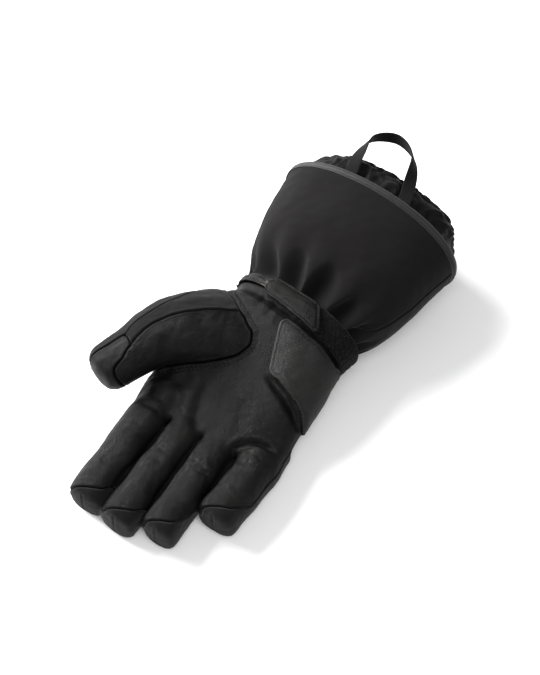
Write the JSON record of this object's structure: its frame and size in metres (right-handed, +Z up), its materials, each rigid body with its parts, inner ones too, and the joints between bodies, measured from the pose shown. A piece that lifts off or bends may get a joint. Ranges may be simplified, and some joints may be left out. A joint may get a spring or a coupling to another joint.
{
  "type": "heated winter glove",
  "caption": "Right-hand padded winter glove with a leather palm, cloth back, strapped wrist, flared gauntlet cuff, gathered inner sleeve and a webbing pull loop, lying palm up.",
  "frame": {"origin": "middle of the underside, on the surface the glove lies on", "axes": "+Y from the fingertips towards the cuff's mouth, +Z up out of the palm, thumb towards -X"},
  "size_m": [0.195, 0.3796, 0.0889],
  "materials": {
    "leather": "fine-grained, soft sheen",
    "cloth": "matte woven stretch cloth",
    "binding": "smooth bonded tape",
    "sleeve": "thin coated cloth, slightly glossy",
    "webbing": "ribbed flat webbing",
    "closing_tape": "fuzzy, matte"
  },
  "bodies": {
    "root": {"palm_leather": "leather", "hand_back": "cloth", "thumb_leather": "leather", "thumb_back": "cloth", "thumb_tip": "leather", "heel_pad": "leather", "gauntlet_front": "cloth", "gauntlet_back": "cloth", "rim_binding": "binding", "inner_sleeve": "sleeve", "pull_loop": "webbing", "wrist_strap": "leather", "loop_strip": "closing_tape"}
  },
  "joints": []
}
